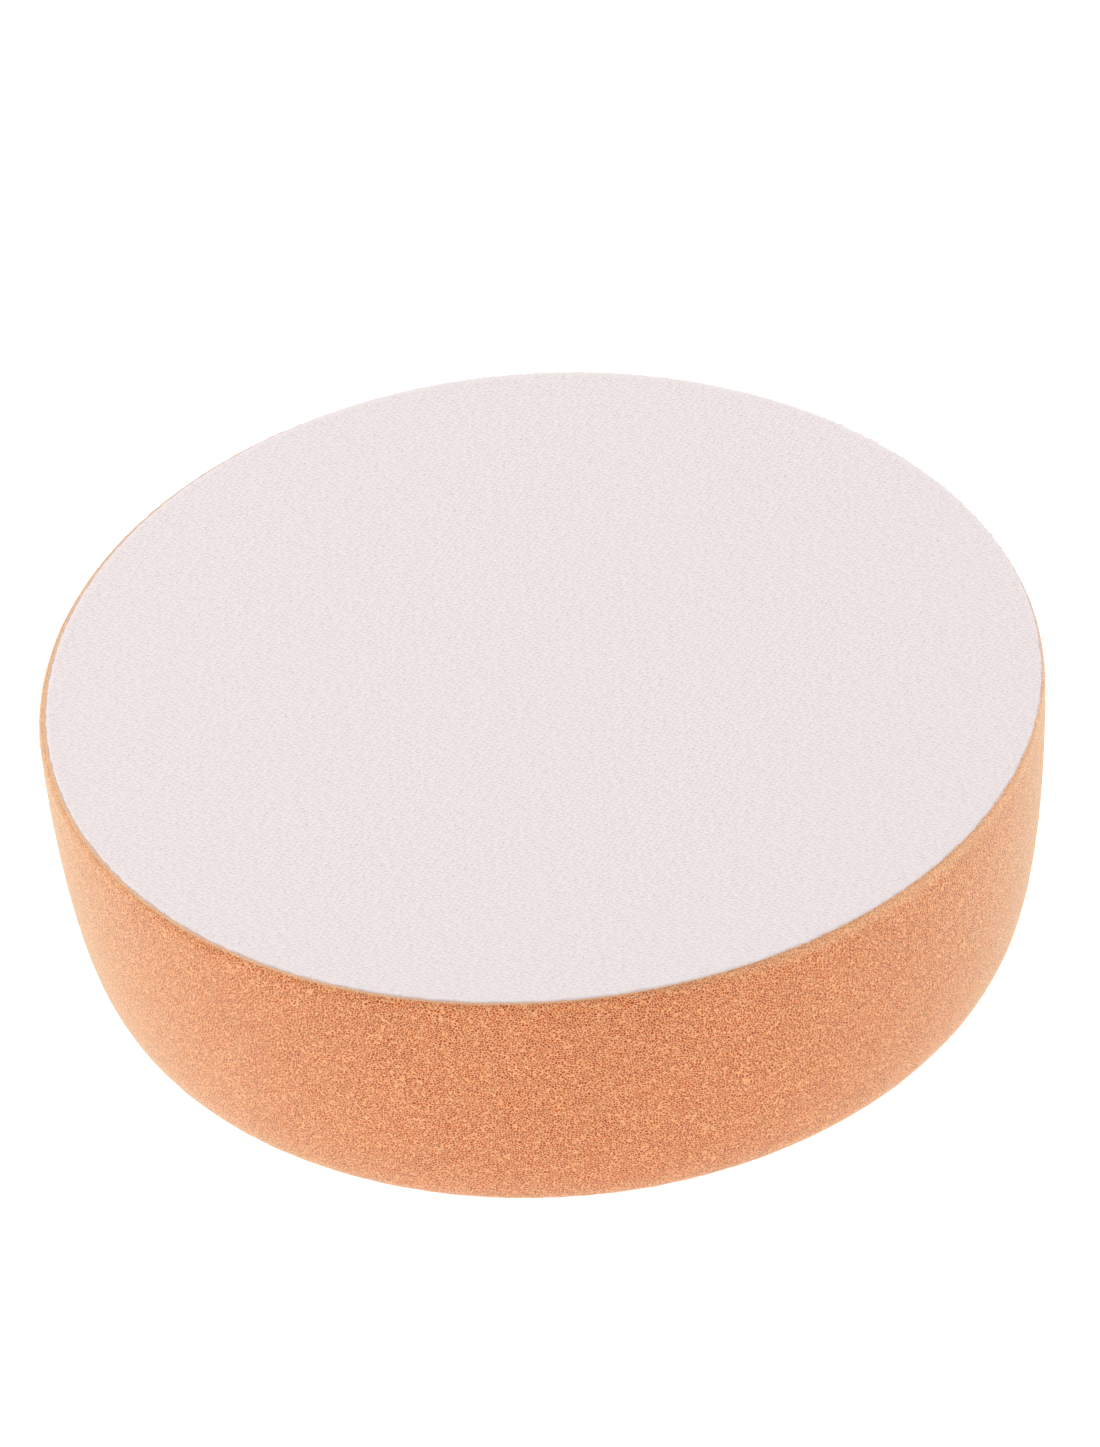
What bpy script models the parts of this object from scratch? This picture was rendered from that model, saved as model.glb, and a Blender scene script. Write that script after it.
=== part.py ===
"""Round foam polishing pad with a loop-fabric back, for a polisher's hook plate.

The pad is one laminate of four turned layers on one axis. From the working
face up they are the foam disc, the adhesive film that bonds it, the knitted
ground cloth of the loop fabric and the brushed loops that stand on that cloth.

Units are metres. +Z is the turning axis and points from the working face to
the loop face. The origin is the centre of the flat working face.
"""

import math

import bpy

# Driving dimensions
PAD_DIAMETER = 0.150        # across the foam at its top rim, the widest place
PAD_HEIGHT = 0.045          # working face to the tops of the loops
FILM_THICKNESS = 0.0002     # hot-melt web after it has been pressed
CLOTH_THICKNESS = 0.0005    # knitted ground of the loop fabric
LOOPS_THICKNESS = 0.0009    # brushed loops, lying over
LAYER_GAP = 0.0003          # clearance between faces that touch
CLOTH_INSET = 0.0009        # the fabric disc is cut this much inside the foam's rim
FILM_INSET = 0.0012         # the film stops just short of the fabric's edge
LOOPS_INSET = 0.0011        # the outermost row of loops stands inside the cut edge

# Shape of the foam's side, from the rim down to the working face
RIM_BREAK = 0.0004          # radius of the cut edge at the rim
WALL_HEIGHT = 0.0045        # straight part of the side below the rim
SIDE_INSET = 0.0084         # how far the side curves in by the working face
ROUNDING_STEPS = 18         # straight pieces along the curved part of the side
FILM_EDGE_BREAK = 0.00005   # chamfer on the rims of the film
CLOTH_EDGE_BREAK = 0.0001   # chamfer on the rims of the cloth
LOOPS_EDGE_BREAK = 0.0003   # radius where the loops round over at the edge
CHAMFER_STEPS = 1           # one straight piece makes a chamfer
EDGE_STEPS = 4              # straight pieces around a small edge radius

# Mesh
TURN_STEPS = 96             # straight pieces around the axis
MERGE_DISTANCE = 0.00001    # joins the points that the turning leaves on the axis

# Derived heights and radii
PAD_RADIUS = PAD_DIAMETER / 2
FOAM_TOP = (
    PAD_HEIGHT - LOOPS_THICKNESS - CLOTH_THICKNESS - FILM_THICKNESS - 3 * LAYER_GAP
)
FILM_BOTTOM = FOAM_TOP + LAYER_GAP
CLOTH_BOTTOM = FILM_BOTTOM + FILM_THICKNESS + LAYER_GAP
LOOPS_BOTTOM = CLOTH_BOTTOM + CLOTH_THICKNESS + LAYER_GAP

FOAM_ORANGE = (0.75, 0.29, 0.12, 1.0)
FILM_AMBER = (0.72, 0.62, 0.42, 1.0)
CLOTH_WHITE = (0.78, 0.74, 0.73, 1.0)
LOOPS_WHITE = (0.83, 0.77, 0.76, 1.0)


def clear_scene():
    for obj in list(bpy.data.objects):
        bpy.data.objects.remove(obj, do_unlink=True)


def new_collection(name):
    collection = bpy.data.collections.new(name)
    bpy.context.scene.collection.children.link(collection)
    return collection


def plain_material(name, colour, roughness):
    material = bpy.data.materials.new(name)
    material.use_nodes = True
    shader = material.node_tree.nodes["Principled BSDF"]
    shader.inputs["Base Color"].default_value = colour
    shader.inputs["Roughness"].default_value = roughness
    shader.inputs["Metallic"].default_value = 0.0
    material.diffuse_color = colour
    return material


def quarter_turn(centre, size, start, end, steps):
    """Points on an ellipse about centre, from one angle to another, in degrees."""
    points = []
    for step in range(steps + 1):
        angle = math.radians(start + (end - start) * step / steps)
        points.append(
            (
                centre[0] + size[0] * math.cos(angle),
                centre[1] + size[1] * math.sin(angle),
            )
        )
    return points


def foam_profile():
    """The foam's half section, from the axis at the top to the axis at the bottom."""
    rim_corner = (PAD_RADIUS - RIM_BREAK, FOAM_TOP - RIM_BREAK)
    curve_top = FOAM_TOP - WALL_HEIGHT
    curve_centre = (PAD_RADIUS - SIDE_INSET, curve_top)
    points = [(0.0, FOAM_TOP)]
    points += quarter_turn(rim_corner, (RIM_BREAK, RIM_BREAK), 90, 0, EDGE_STEPS)
    points += quarter_turn(curve_centre, (SIDE_INSET, curve_top), 0, -90, ROUNDING_STEPS)
    points.append((0.0, 0.0))
    return points


def disc_profile(radius, bottom, thickness, edge_break, steps):
    """Half section of a flat disc whose upper and lower rims are broken."""
    top = bottom + thickness
    size = (edge_break, edge_break)
    upper = (radius - edge_break, top - edge_break)
    lower = (radius - edge_break, bottom + edge_break)
    points = [(0.0, top)]
    points += quarter_turn(upper, size, 90, 0, steps)
    points += quarter_turn(lower, size, 0, -90, steps)
    points.append((0.0, bottom))
    return points


def turned_solid(name, profile, material, collection, parent):
    """An object whose half section, in the XZ plane, is turned about Z."""
    mesh = bpy.data.meshes.new(name)
    points = [(x, 0.0, z) for x, z in profile]
    edges = [(i, i + 1) for i in range(len(points) - 1)]
    mesh.from_pydata(points, edges, [])
    obj = bpy.data.objects.new(name, mesh)
    collection.objects.link(obj)
    obj.data.materials.append(material)

    turn = obj.modifiers.new("turn", "SCREW")
    turn.axis = "Z"
    turn.angle = 2 * math.pi
    turn.steps = TURN_STEPS
    turn.render_steps = TURN_STEPS
    turn.use_merge_vertices = True
    turn.merge_threshold = MERGE_DISTANCE
    turn.use_smooth_shade = True

    obj.parent = parent
    return obj


def build_foam_disc(collection, parent):
    foam = plain_material("open_cell_foam", FOAM_ORANGE, 0.95)
    return turned_solid("foam_disc", foam_profile(), foam, collection, parent)


def build_adhesive_film(collection, parent):
    film = plain_material("hot_melt_film", FILM_AMBER, 0.5)
    profile = disc_profile(
        PAD_RADIUS - FILM_INSET,
        FILM_BOTTOM,
        FILM_THICKNESS,
        FILM_EDGE_BREAK,
        CHAMFER_STEPS,
    )
    return turned_solid("adhesive_film", profile, film, collection, parent)


def build_ground_cloth(collection, parent):
    cloth = plain_material("knitted_ground", CLOTH_WHITE, 0.85)
    profile = disc_profile(
        PAD_RADIUS - CLOTH_INSET,
        CLOTH_BOTTOM,
        CLOTH_THICKNESS,
        CLOTH_EDGE_BREAK,
        CHAMFER_STEPS,
    )
    return turned_solid("ground_cloth", profile, cloth, collection, parent)


def build_loop_pile(collection, parent):
    loops = plain_material("brushed_loops", LOOPS_WHITE, 0.9)
    profile = disc_profile(
        PAD_RADIUS - LOOPS_INSET,
        LOOPS_BOTTOM,
        LOOPS_THICKNESS,
        LOOPS_EDGE_BREAK,
        EDGE_STEPS,
    )
    return turned_solid("loop_pile", profile, loops, collection, parent)


def build_pad():
    clear_scene()
    collection = new_collection("polishing_pad")
    axis = bpy.data.objects.new("pad_axis", None)
    collection.objects.link(axis)

    build_foam_disc(collection, axis)
    build_adhesive_film(collection, axis)
    build_ground_cloth(collection, axis)
    build_loop_pile(collection, axis)


build_pad()
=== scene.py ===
import math

import bpy
from mathutils import Matrix, Vector


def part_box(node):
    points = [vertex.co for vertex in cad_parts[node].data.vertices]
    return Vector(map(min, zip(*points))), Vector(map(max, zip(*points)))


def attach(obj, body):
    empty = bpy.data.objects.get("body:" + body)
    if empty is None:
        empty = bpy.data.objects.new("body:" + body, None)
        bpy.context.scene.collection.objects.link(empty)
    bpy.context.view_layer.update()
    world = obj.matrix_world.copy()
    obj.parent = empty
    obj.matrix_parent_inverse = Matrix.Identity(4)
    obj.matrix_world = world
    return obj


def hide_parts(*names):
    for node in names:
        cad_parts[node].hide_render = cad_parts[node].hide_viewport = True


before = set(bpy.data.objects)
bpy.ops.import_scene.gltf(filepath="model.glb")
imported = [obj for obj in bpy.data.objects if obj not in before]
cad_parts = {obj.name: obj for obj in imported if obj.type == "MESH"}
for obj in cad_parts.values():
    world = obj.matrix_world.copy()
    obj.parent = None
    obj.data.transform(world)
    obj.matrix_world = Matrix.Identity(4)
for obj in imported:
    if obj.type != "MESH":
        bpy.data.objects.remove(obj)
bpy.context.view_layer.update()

body = "root"
millimetre = 0.001
noiseLow, noiseHigh = 0.25, 0.75         # a noise texture hardly goes past these
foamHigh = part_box("foam_disc")[1]        # the box's highest corner
padRadius = foamHigh.x
foamTop = foamHigh.z
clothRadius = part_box("ground_cloth")[1].x
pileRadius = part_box("loop_pile")[1].x


def addNode(tree, kind, sockets=None, **settings):
    node = tree.nodes.new(kind)
    for name, value in settings.items():
        setattr(node, name, value)
    for name, value in (sockets or {}).items():
        if isinstance(value, bpy.types.NodeSocket):
            tree.links.new(value, node.inputs[name])
        else:
            node.inputs[name].default_value = value
    return node


def hexToLinear(hexColour):
    channels = [int(hexColour[i:i + 2], 16) / 255 for i in (1, 3, 5)]
    linear = [c / 12.92 if c <= 0.04045 else ((c + 0.055) / 1.055) ** 2.4 for c in channels]
    return (*linear, 1.0)


def newMaterial(name):
    material = bpy.data.materials.new(name)
    material.use_nodes = True
    return material, material.node_tree, material.node_tree.nodes["Principled BSDF"]


def newTree(name, inputs):
    # inputs: label -> (socket type, default), in the order that the modifier shows them
    tree = bpy.data.node_groups.new(name, "GeometryNodeTree")
    tree.is_modifier = True
    tree.interface.new_socket("Geometry", in_out="OUTPUT", socket_type="NodeSocketGeometry")
    tree.interface.new_socket("Geometry", in_out="INPUT", socket_type="NodeSocketGeometry")
    for label, (kind, default) in inputs.items():
        socket = tree.interface.new_socket(label, in_out="INPUT", socket_type="NodeSocket" + kind)
        if default is not None:
            socket.default_value = default
    return tree, tree.nodes.new("NodeGroupInput"), tree.nodes.new("NodeGroupOutput")


def runTree(source, tree, values, pieceName):
    # runs the tree on the source object and keeps the result as a plain mesh piece
    modifier = source.modifiers.new(tree.name, "NODES")
    modifier.node_group = tree
    identifiers = {
        item.name: item.identifier
        for item in tree.interface.items_tree
        if item.item_type == "SOCKET" and item.in_out == "INPUT"
    }
    for label, value in values.items():
        modifier[identifiers[label]] = value
    graph = bpy.context.evaluated_depsgraph_get()
    mesh = bpy.data.meshes.new_from_object(
        source.evaluated_get(graph), preserve_all_data_layers=True, depsgraph=graph
    )
    mesh.name = pieceName
    bpy.data.objects.remove(source, do_unlink=True)
    piece = bpy.data.objects.new(pieceName, mesh)
    bpy.context.scene.collection.objects.link(piece)
    print(f"{pieceName}: {len(mesh.polygons)} faces")
    return piece


def profileCurve(name, points):
    # half section in the XZ plane, from the lower edge of the side to its upper edge
    curve = bpy.data.curves.new(name, "CURVE")
    curve.dimensions = "3D"
    spline = curve.splines.new("POLY")
    spline.points.add(len(points) - 1)
    for point, (x, z) in zip(spline.points, points):
        point.co = (x, 0.0, z, 1.0)
    obj = bpy.data.objects.new(name, curve)
    bpy.context.scene.collection.objects.link(obj)
    return obj


def arcPoints(centre, size, startDegrees, endDegrees, steps):
    angles = [
        math.radians(startDegrees + (endDegrees - startDegrees) * i / steps)
        for i in range(steps + 1)
    ]
    return [(centre[0] + size[0] * math.cos(a), centre[1] + size[1] * math.sin(a)) for a in angles]


view = {
    "elevation": 39.03,       # degrees above the table
    "roll": -4.48,            # degrees, the camera held a little tilted
    "distance": 3.4,          # a long lens from far off, so the rims look almost parallel
    "height": 0.21515,        # what the picture's long side takes in at the pad's top
    "aimRight": 0.00136,      # the picture's centre lies this far from the foam's top centre
    "aimDown": 0.00555,
    "sensor": 36.0,
    "nearest": 0.05,
    "farthest": 20.0,
}


def makeCamera():
    camera = bpy.data.objects.new("camera", bpy.data.cameras.new("camera"))
    bpy.context.scene.collection.objects.link(camera)
    elevation = math.radians(view["elevation"])
    back = Vector((0.0, -math.cos(elevation), math.sin(elevation)))
    tilt = Matrix.Rotation(math.radians(view["roll"]), 3, back)
    right = tilt @ Vector((1.0, 0.0, 0.0))
    up = back.cross(right)
    aim = Vector((0.0, 0.0, foamTop)) + right * view["aimRight"] - up * view["aimDown"]
    turn = Matrix((right, up, back)).transposed().to_4x4()
    camera.matrix_world = Matrix.Translation(aim + back * view["distance"]) @ turn
    camera.data.sensor_width = view["sensor"]
    camera.data.lens = view["sensor"] * view["distance"] / view["height"]
    camera.data.clip_start = view["nearest"]
    camera.data.clip_end = view["farthest"]
    bpy.context.scene.camera = camera
    print("camera: lens", round(camera.data.lens, 1), "mm")


makeCamera()


def cutOpenCellFoam():
    # polyurethane foam, open cells, sawn and then ground round: struts catch the light,
    # the cut cells between them are small deep orange pits whose darkness is painted shade, and its
    # edges look pale and soft
    look = {
        "strut": "#F0AF7D",
        "membraneShade": "#C6520A",
        "pitShade": "#9E3000",
        "cell": 0.41 * millimetre,       # about 60 pores to the inch
        "bend": 0.2 * millimetre,        # how far the cells are drawn out of shape
        "strutEdge": (0.03, 0.20),       # shares of a cell where a strut begins to fall and ends
        "strutShare": (0.22, 0.85),      # what counts as all pit and all strut
        "clump": 1.3 * millimetre,       # uneven cell size from the pour
        "clumpShare": 0.09,
        "cloud": 9.0 * millimetre,       # broad unevenness of the dye
        "ring": 0.7 * millimetre,        # faint rings left by the grinding, around the axis
        "ringLength": 20.0 * millimetre,
        "cloudsAndRings": (0.7, 1.3),    # the two noises added seldom go past these
        "unevenness": (0.975, 1.025),    # what clouds and rings together do to the colour
        "bump": 0.02 * millimetre,
        "rimHighlightColour": "#F8CDA2",             # painted highlight along the foam's rim, which also lifts the shade there
        "rimHighlightDepth": 0.9 * millimetre,
        "rimHighlightDeeper": 1.8 * millimetre,  # and this much deeper on two opposite sides
        "rimHighlightSide": -0.35,               # their direction, in radians from +X
        "rimHighlightFrom": (0.4, 0.9),          # shares of the radius between which the sides come in
        "soakFull": 0.3,                 # share of the depth down to which it is at its palest
        "rimHighlightShare": 0.08,
        "rimHighlightMore": 0.38,                # on those two sides
        "edgeHighlight": 0.09 * millimetre,       # painted highlight in a thin strip right under the fabric's edge, lifting the shade there, this deep
        "edgeHighlightShare": 0.8,
    }
    material, tree, shader = newMaterial("cutOpenCellFoam")
    place = addNode(tree, "ShaderNodeTexCoord").outputs["Object"]
    wobble = addNode(tree, "ShaderNodeTexNoise", {
        "Vector": place, "Scale": 1 / look["cell"], "Detail": 1.0})
    bent = addNode(tree, "ShaderNodeVectorMath", {
        0: wobble.outputs["Color"], 1: (look["bend"],) * 3, 2: place}, operation="MULTIPLY_ADD")
    cells = addNode(tree, "ShaderNodeTexVoronoi", {
        "Vector": bent.outputs[0], "Scale": 1 / look["cell"]}, feature="DISTANCE_TO_EDGE")
    struts = addNode(tree, "ShaderNodeMapRange", {
        "Value": cells.outputs["Distance"],
        "From Min": look["strutEdge"][0], "From Max": look["strutEdge"][1],
        "To Min": 1.0, "To Max": 0.0}, interpolation_type="SMOOTHSTEP")
    windows = addNode(tree, "ShaderNodeTexVoronoi", {
        "Vector": bent.outputs[0], "Scale": 1 / look["cell"]}, feature="F1")
    windowShade = addNode(tree, "ShaderNodeSeparateColor", {"Color": windows.outputs["Color"]})
    # painted shade: the floors of the cells take a darker, deeper orange than the struts, standing for
    # the shade down in the pores
    shadedCellFloor = addNode(tree, "ShaderNodeMix", {
        "Factor": windowShade.outputs["Red"],
        "A": hexToLinear(look["pitShade"]), "B": hexToLinear(look["membraneShade"])}, data_type="RGBA")
    clumps = addNode(tree, "ShaderNodeTexNoise", {
        "Vector": place, "Scale": 1 / look["clump"], "Detail": 2.0})
    strutsAndClumps = addNode(tree, "ShaderNodeMath", {
        0: clumps.outputs["Fac"], 1: look["clumpShare"], 2: struts.outputs["Result"]},
        operation="MULTIPLY_ADD")
    strutShare = addNode(tree, "ShaderNodeMapRange", {
        "Value": strutsAndClumps.outputs[0],
        "From Min": look["strutShare"][0], "From Max": look["strutShare"][1]})
    foamColour = addNode(tree, "ShaderNodeMix", {
        "Factor": strutShare.outputs["Result"],
        "A": shadedCellFloor.outputs["Result"], "B": hexToLinear(look["strut"])}, data_type="RGBA")
    clouds = addNode(tree, "ShaderNodeTexNoise", {
        "Vector": place, "Scale": 1 / look["cloud"], "Detail": 1.0})
    stretched = addNode(tree, "ShaderNodeMapping", {
        "Vector": place,
        "Scale": (1 / look["ringLength"], 1 / look["ringLength"], 1 / look["ring"])})
    rings = addNode(tree, "ShaderNodeTexNoise", {
        "Vector": stretched.outputs["Vector"], "Scale": 1.0, "Detail": 1.0})
    cloudsAndRings = addNode(tree, "ShaderNodeMath", {
        0: clouds.outputs["Fac"], 1: rings.outputs["Fac"]}, operation="ADD")
    evenness = addNode(tree, "ShaderNodeMapRange", {
        "Value": cloudsAndRings.outputs[0],
        "From Min": look["cloudsAndRings"][0], "From Max": look["cloudsAndRings"][1],
        "To Min": look["unevenness"][0], "To Max": look["unevenness"][1]})
    dyed = addNode(tree, "ShaderNodeHueSaturation", {
        "Value": evenness.outputs["Result"], "Color": foamColour.outputs["Result"]})
    # painted highlight: the rim's top is paled towards a light colour, deeper and stronger on two
    # opposite sides, and strongest in a thin strip just under the fabric's edge
    towardsRimHighlight = addNode(tree, "ShaderNodeVectorMath", {
        0: place, 1: (math.cos(look["rimHighlightSide"]), math.sin(look["rimHighlightSide"]), 0.0)},
        operation="DOT_PRODUCT")
    eitherSide = addNode(tree, "ShaderNodeMath", {
        0: towardsRimHighlight.outputs["Value"]}, operation="ABSOLUTE")
    rimHighlightHere = addNode(tree, "ShaderNodeMapRange", {
        "Value": eitherSide.outputs[0],
        "From Min": look["rimHighlightFrom"][0] * padRadius, "From Max": look["rimHighlightFrom"][1] * padRadius})
    rimHighlightEnd = addNode(tree, "ShaderNodeMath", {
        0: rimHighlightHere.outputs["Result"], 1: look["rimHighlightDeeper"], 2: look["rimHighlightDepth"]},
        operation="MULTIPLY_ADD")
    section = addNode(tree, "ShaderNodeAttribute", attribute_name="section")
    sectionParts = addNode(tree, "ShaderNodeSeparateXYZ", {0: section.outputs["Vector"]})
    depth = addNode(tree, "ShaderNodeMath", {
        0: foamTop, 1: sectionParts.outputs["Z"]}, operation="SUBTRACT")
    rimHighlightShare = addNode(tree, "ShaderNodeMath", {
        0: rimHighlightHere.outputs["Result"], 1: look["rimHighlightMore"], 2: look["rimHighlightShare"]},
        operation="MULTIPLY_ADD")
    soak = addNode(tree, "ShaderNodeMapRange", {
        "Value": depth.outputs[0], "From Min": look["soakFull"] * look["rimHighlightDepth"],
        "From Max": rimHighlightEnd.outputs[0], "To Min": rimHighlightShare.outputs[0], "To Max": 0.0})
    edgeHighlight = addNode(tree, "ShaderNodeMapRange", {
        "Value": depth.outputs[0], "From Min": 0.0, "From Max": look["edgeHighlight"],
        "To Min": look["edgeHighlightShare"], "To Max": 0.0})
    paintedRimLight = addNode(tree, "ShaderNodeMath", {
        0: soak.outputs["Result"], 1: edgeHighlight.outputs["Result"]}, operation="MAXIMUM")
    rimLit = addNode(tree, "ShaderNodeMix", {
        "Factor": paintedRimLight.outputs[0], "A": dyed.outputs["Color"],
        "B": hexToLinear(look["rimHighlightColour"])}, data_type="RGBA")
    relief = addNode(tree, "ShaderNodeBump", {
        "Height": strutShare.outputs["Result"], "Distance": look["bump"], "Strength": 0.9})
    tree.links.new(rimLit.outputs["Result"], shader.inputs["Base Color"])
    tree.links.new(relief.outputs["Normal"], shader.inputs["Normal"])
    shader.inputs["Roughness"].default_value = 0.95
    shader.inputs["IOR"].default_value = 1.45
    shader.inputs["Specular IOR Level"].default_value = 0.2
    shader.inputs["Sheen Weight"].default_value = 1.0
    shader.inputs["Sheen Roughness"].default_value = 0.43
    shader.inputs["Sheen Tint"].default_value = hexToLinear("#F0ECD2")
    return material


def pressedHotMelt():
    # co-polyamide web, melted and pressed: a clear pale amber line with a dull shine
    look = {"amber": "#E9C79A", "clear": "#F3DDBE", "web": 1.2 * millimetre}
    material, tree, shader = newMaterial("pressedHotMelt")
    place = addNode(tree, "ShaderNodeTexCoord").outputs["Object"]
    web = addNode(tree, "ShaderNodeTexNoise", {
        "Vector": place, "Scale": 1 / look["web"], "Detail": 3.0})
    colour = addNode(tree, "ShaderNodeMix", {
        "Factor": web.outputs["Fac"], "A": hexToLinear(look["amber"]),
        "B": hexToLinear(look["clear"])}, data_type="RGBA")
    relief = addNode(tree, "ShaderNodeBump", {
        "Height": web.outputs["Fac"], "Distance": 0.1 * millimetre})
    tree.links.new(colour.outputs["Result"], shader.inputs["Base Color"])
    tree.links.new(relief.outputs["Normal"], shader.inputs["Normal"])
    shader.inputs["Roughness"].default_value = 0.45
    shader.inputs["IOR"].default_value = 1.51
    return material


def knittedNylonGround():
    # nylon, warp knitted: columns of stitches with shallow grooves between them, matt white, the grooves
    # faintly darker as painted shade
    look = {
        "thread": "#F7EDED",
        "grooveShade": "#F4E9E9",
        "wale": 1.0 * millimetre,
        "course": 0.85 * millimetre,
        "speck": "#A99C9C",              # a stitch here and there that the brush has opened
        "speckSize": 0.17 * millimetre,
        "speckSpacing": 3.6 * millimetre,
        "speckless": 0.5,                # share of those places that have none
    }
    material, tree, shader = newMaterial("knittedNylonGround")
    place = addNode(tree, "ShaderNodeTexCoord").outputs["Object"]
    wales = addNode(tree, "ShaderNodeTexWave", {
        "Vector": place, "Scale": math.pi / 10 / look["wale"], "Distortion": 0.6},
        wave_type="BANDS", bands_direction="X")
    courses = addNode(tree, "ShaderNodeTexWave", {
        "Vector": place, "Scale": math.pi / 10 / look["course"], "Distortion": 0.6},
        wave_type="BANDS", bands_direction="Y")
    stitches = addNode(tree, "ShaderNodeMath", {
        0: wales.outputs["Fac"], 1: courses.outputs["Fac"]}, operation="MULTIPLY")
    # painted shade: the grooves between the stitches are coloured a little darker than the threads
    colour = addNode(tree, "ShaderNodeMix", {
        "Factor": stitches.outputs[0], "A": hexToLinear(look["grooveShade"]),
        "B": hexToLinear(look["thread"])}, data_type="RGBA")
    speckPlaces = addNode(tree, "ShaderNodeTexVoronoi", {
        "Vector": place, "Scale": 1 / look["speckSpacing"]},
        voronoi_dimensions="2D", feature="F1")
    specks = addNode(tree, "ShaderNodeMapRange", {
        "Value": speckPlaces.outputs["Distance"], "From Min": 0.0,
        "From Max": look["speckSize"] / look["speckSpacing"], "To Min": 1.0, "To Max": 0.0})
    speckRandom = addNode(tree, "ShaderNodeSeparateColor", {"Color": speckPlaces.outputs["Color"]})
    someSpecks = addNode(tree, "ShaderNodeMapRange", {
        "Value": speckRandom.outputs["Red"], "From Min": look["speckless"]})
    speckShare = addNode(tree, "ShaderNodeMath", {
        0: specks.outputs["Result"], 1: someSpecks.outputs["Result"]}, operation="MULTIPLY")
    specked = addNode(tree, "ShaderNodeMix", {
        "Factor": speckShare.outputs[0], "A": colour.outputs["Result"],
        "B": hexToLinear(look["speck"])}, data_type="RGBA")
    relief = addNode(tree, "ShaderNodeBump", {
        "Height": stitches.outputs[0], "Distance": 0.02 * millimetre})
    tree.links.new(specked.outputs["Result"], shader.inputs["Base Color"])
    tree.links.new(relief.outputs["Normal"], shader.inputs["Normal"])
    shader.inputs["Roughness"].default_value = 0.8
    shader.inputs["IOR"].default_value = 1.53
    return material


def brushedNylonLoop():
    # nylon yarn in brushed loops: bright, faintly pink white, with a soft fibre sheen
    look = {"yarn": "#F5EEEF", "shade": "#F2EAEB", "streak": 2.5 * millimetre}
    material, tree, shader = newMaterial("brushedNylonLoop")
    place = addNode(tree, "ShaderNodeTexCoord").outputs["Object"]
    streaks = addNode(tree, "ShaderNodeTexNoise", {
        "Vector": place, "Scale": 1 / look["streak"], "Detail": 3.0})
    colour = addNode(tree, "ShaderNodeMix", {
        "Factor": streaks.outputs["Fac"], "A": hexToLinear(look["shade"]),
        "B": hexToLinear(look["yarn"])}, data_type="RGBA")
    tree.links.new(colour.outputs["Result"], shader.inputs["Base Color"])
    shader.inputs["Roughness"].default_value = 0.6
    shader.inputs["IOR"].default_value = 1.53
    shader.inputs["Sheen Weight"].default_value = 0.2
    shader.inputs["Sheen Roughness"].default_value = 0.5
    return material


foamMaterial = cutOpenCellFoam()
filmMaterial = pressedHotMelt()
groundMaterial = knittedNylonGround()
loopMaterial = brushedNylonLoop()
print("materials: 4 made")


# Foam this soft doesn't lie quite true: the rim dips a little on two sides and rises on the
# other two, and nothing moves at the working face.
settling = {
    "amount": -0.00070,       # at the rim, on the line of the dip
    "direction": 0.18,        # of that line from +X, in radians
}


def makeSettlingTree():
    tree, given, result = newTree("settling", {
        "Amount": ("Float", 0.0),
        "Direction": ("Float", 0.0),
        "Rim Radius": ("Float", 0.075),
        "Rim Height": ("Float", 0.0425),
    })
    place = addNode(tree, "GeometryNodeInputPosition").outputs[0]
    backwards = addNode(tree, "ShaderNodeMath", {
        0: given.outputs["Direction"], 1: -1.0}, operation="MULTIPLY")
    turned = addNode(tree, "ShaderNodeVectorRotate", {
        "Vector": place, "Angle": backwards.outputs[0]}, rotation_type="Z_AXIS")
    parts = addNode(tree, "ShaderNodeSeparateXYZ", {0: turned.outputs[0]})
    along = addNode(tree, "ShaderNodeMath", {
        0: parts.outputs["X"], 1: parts.outputs["X"]}, operation="MULTIPLY")
    across = addNode(tree, "ShaderNodeMath", {
        0: parts.outputs["Y"], 1: parts.outputs["Y"]}, operation="MULTIPLY")
    saddle = addNode(tree, "ShaderNodeMath", {
        0: along.outputs[0], 1: across.outputs[0]}, operation="SUBTRACT")
    rimSquared = addNode(tree, "ShaderNodeMath", {
        0: given.outputs["Rim Radius"], 1: 2.0}, operation="POWER")
    atRim = addNode(tree, "ShaderNodeMath", {
        0: saddle.outputs[0], 1: rimSquared.outputs[0]}, operation="DIVIDE")
    rise = addNode(tree, "ShaderNodeMath", {
        0: parts.outputs["Z"], 1: given.outputs["Rim Height"]}, operation="DIVIDE")
    riseSquared = addNode(tree, "ShaderNodeMath", {
        0: rise.outputs[0], 1: 2.0}, operation="POWER")
    share = addNode(tree, "ShaderNodeMath", {
        0: atRim.outputs[0], 1: riseSquared.outputs[0]}, operation="MULTIPLY")
    lift = addNode(tree, "ShaderNodeMath", {
        0: share.outputs[0], 1: given.outputs["Amount"]}, operation="MULTIPLY")
    offset = addNode(tree, "ShaderNodeCombineXYZ", {"Z": lift.outputs[0]})
    moved = addNode(tree, "GeometryNodeSetPosition", {
        "Geometry": given.outputs["Geometry"], "Offset": offset.outputs[0]})
    tree.links.new(moved.outputs["Geometry"], result.inputs["Geometry"])
    return tree


settlingTree = makeSettlingTree()


def settled(tree, geometry):
    # the same settling goes into the tree of every layer
    return addNode(tree, "GeometryNodeGroup", {
        "Geometry": geometry, "Amount": settling["amount"], "Direction": settling["direction"],
        "Rim Radius": padRadius, "Rim Height": foamTop}, node_tree=settlingTree).outputs["Geometry"]


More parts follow.
